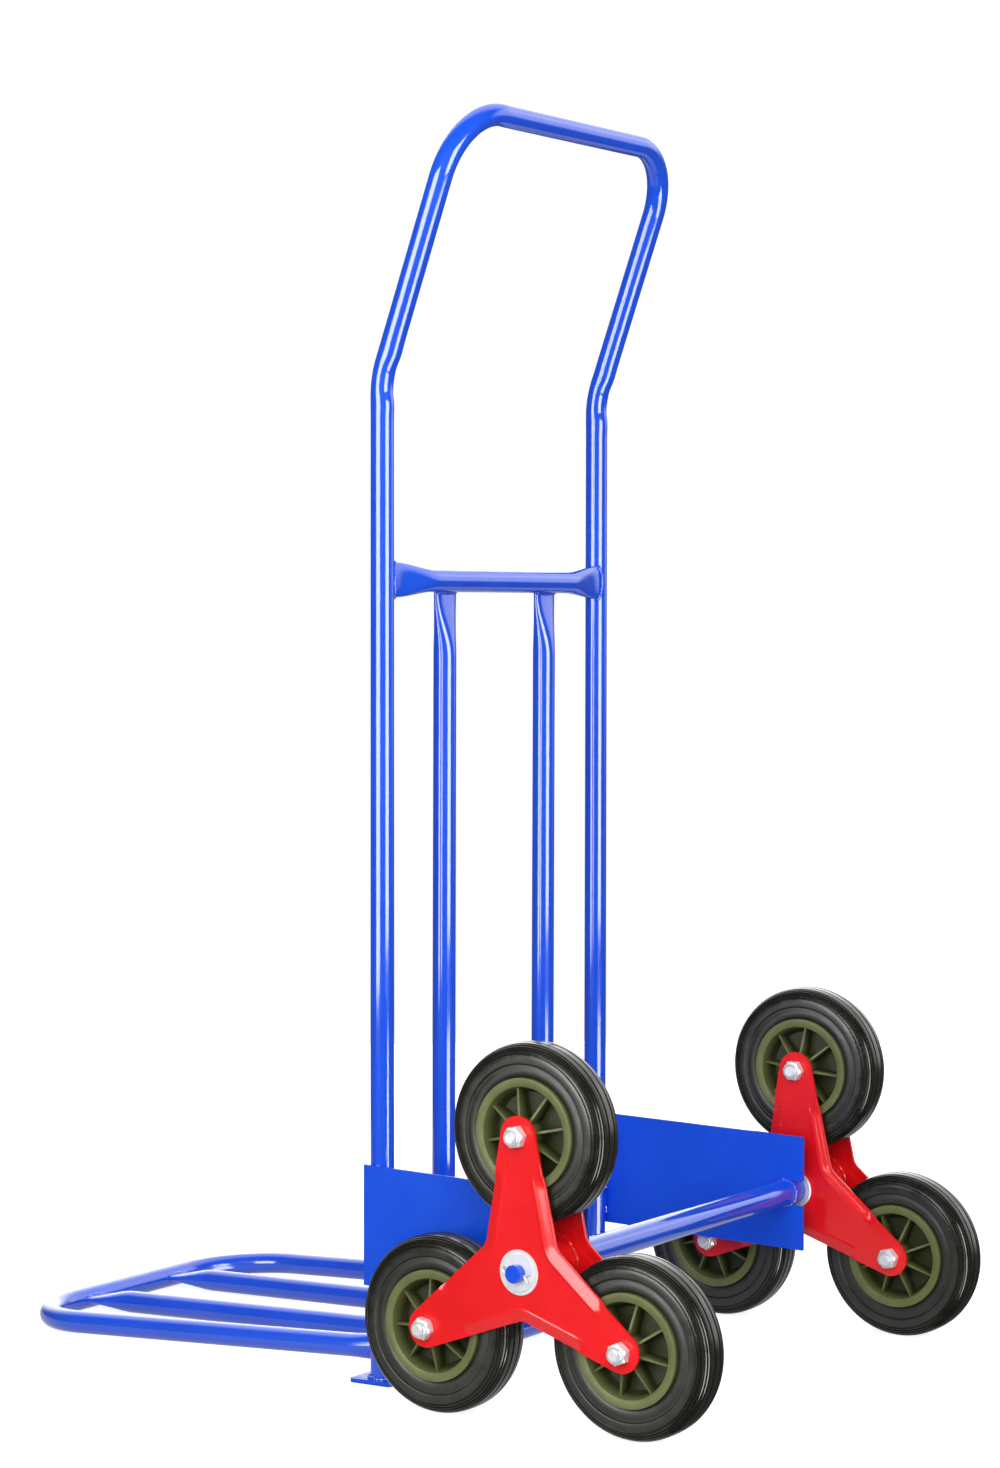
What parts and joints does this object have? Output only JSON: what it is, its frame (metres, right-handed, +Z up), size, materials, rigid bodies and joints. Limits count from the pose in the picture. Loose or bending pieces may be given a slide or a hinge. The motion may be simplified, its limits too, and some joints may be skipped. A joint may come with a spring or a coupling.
{
  "type": "stair climbing trolley",
  "caption": "Tall tubular hand trolley with a rounded loop handle, a flat open toe of tubes at the foot, and a turning three-wheel star cluster on each side for climbing stairs.",
  "frame": {"origin": "on the floor, at the middle of the bounding box's base", "axes": "+Z up, +X to the user's left, +Y towards the user and the wheels; the toe points to -Y"},
  "size_m": [0.5718, 0.8832, 1.1826],
  "materials": {
    "frame_paint": "glossy blue powder coat",
    "star_paint": "glossy red powder coat",
    "zinc_steel": "bright zinc plated",
    "tyre_rubber": "matt black solid rubber",
    "hub_plastic": "satin olive moulding",
    "bush_plastic": "natural nylon"
  },
  "bodies": {
    "frame": {"frame_tube": "frame_paint", "upper_cross_bar": "frame_paint", "lower_cross_bar": "frame_paint", "inner_post_left": "frame_paint", "inner_post_right": "frame_paint", "toe_frame": "frame_paint", "toe_bar_left": "frame_paint", "toe_bar_right": "frame_paint", "side_plate_left": "frame_paint", "side_plate_right": "frame_paint", "foot_plate_left": "frame_paint", "foot_plate_right": "frame_paint", "axle_tube": "frame_paint", "axle_rod": "frame_paint", "axle_collars": "zinc_steel", "inner_axle_washers": "zinc_steel", "outer_washers_large": "zinc_steel", "outer_washers_small": "zinc_steel", "split_pins": "zinc_steel"},
    "star_left": {"star_plate_outer_left": "star_paint", "star_plate_inner_left": "star_paint", "hub_sleeve_left": "star_paint", "hub_bushes_left": "bush_plastic", "wheel_bolts_left": "zinc_steel", "wheel_nuts_left": "zinc_steel", "spacer_sleeves_left": "zinc_steel"},
    "wheel_left_top": {"tyre_left_top": "tyre_rubber", "wheel_hub_left_top": "hub_plastic", "wheel_bush_left_top": "bush_plastic"},
    "wheel_left_front": {"tyre_left_front": "tyre_rubber", "wheel_hub_left_front": "hub_plastic", "wheel_bush_left_front": "bush_plastic"},
    "wheel_left_rear": {"tyre_left_rear": "tyre_rubber", "wheel_hub_left_rear": "hub_plastic", "wheel_bush_left_rear": "bush_plastic"},
    "star_right": {"star_plate_outer_right": "star_paint", "star_plate_inner_right": "star_paint", "hub_sleeve_right": "star_paint", "hub_bushes_right": "bush_plastic", "wheel_bolts_right": "zinc_steel", "wheel_nuts_right": "zinc_steel", "spacer_sleeves_right": "zinc_steel"},
    "wheel_right_top": {"tyre_right_top": "tyre_rubber", "wheel_hub_right_top": "hub_plastic", "wheel_bush_right_top": "bush_plastic"},
    "wheel_right_front": {"tyre_right_front": "tyre_rubber", "wheel_hub_right_front": "hub_plastic", "wheel_bush_right_front": "bush_plastic"},
    "wheel_right_rear": {"tyre_right_rear": "tyre_rubber", "wheel_hub_right_rear": "hub_plastic", "wheel_bush_right_rear": "bush_plastic"}
  },
  "joints": [
    {"name": "star_turn_left", "type": "hinge", "parent": "frame", "child": "star_left", "pos_m": [0.2453, 0.25899, 0.13925], "axis": [1, 0, 0], "continuous": true},
    {"name": "wheel_turn_left_top", "type": "hinge", "parent": "star_left", "child": "wheel_left_top", "pos_m": [0.2453, 0.25899, 0.25775], "axis": [1, 0, 0], "continuous": true},
    {"name": "wheel_turn_left_front", "type": "hinge", "parent": "star_left", "child": "wheel_left_front", "pos_m": [0.2453, 0.15636, 0.08], "axis": [1, 0, 0], "continuous": true},
    {"name": "wheel_turn_left_rear", "type": "hinge", "parent": "star_left", "child": "wheel_left_rear", "pos_m": [0.2453, 0.36161, 0.08], "axis": [1, 0, 0], "continuous": true},
    {"name": "star_turn_right", "type": "hinge", "parent": "frame", "child": "star_right", "pos_m": [-0.2453, 0.25899, 0.13925], "axis": [1, 0, 0], "continuous": true},
    {"name": "wheel_turn_right_top", "type": "hinge", "parent": "star_right", "child": "wheel_right_top", "pos_m": [-0.2453, 0.25899, 0.25775], "axis": [1, 0, 0], "continuous": true},
    {"name": "wheel_turn_right_front", "type": "hinge", "parent": "star_right", "child": "wheel_right_front", "pos_m": [-0.2453, 0.15636, 0.08], "axis": [1, 0, 0], "continuous": true},
    {"name": "wheel_turn_right_rear", "type": "hinge", "parent": "star_right", "child": "wheel_right_rear", "pos_m": [-0.2453, 0.36161, 0.08], "axis": [1, 0, 0], "continuous": true}
  ]
}
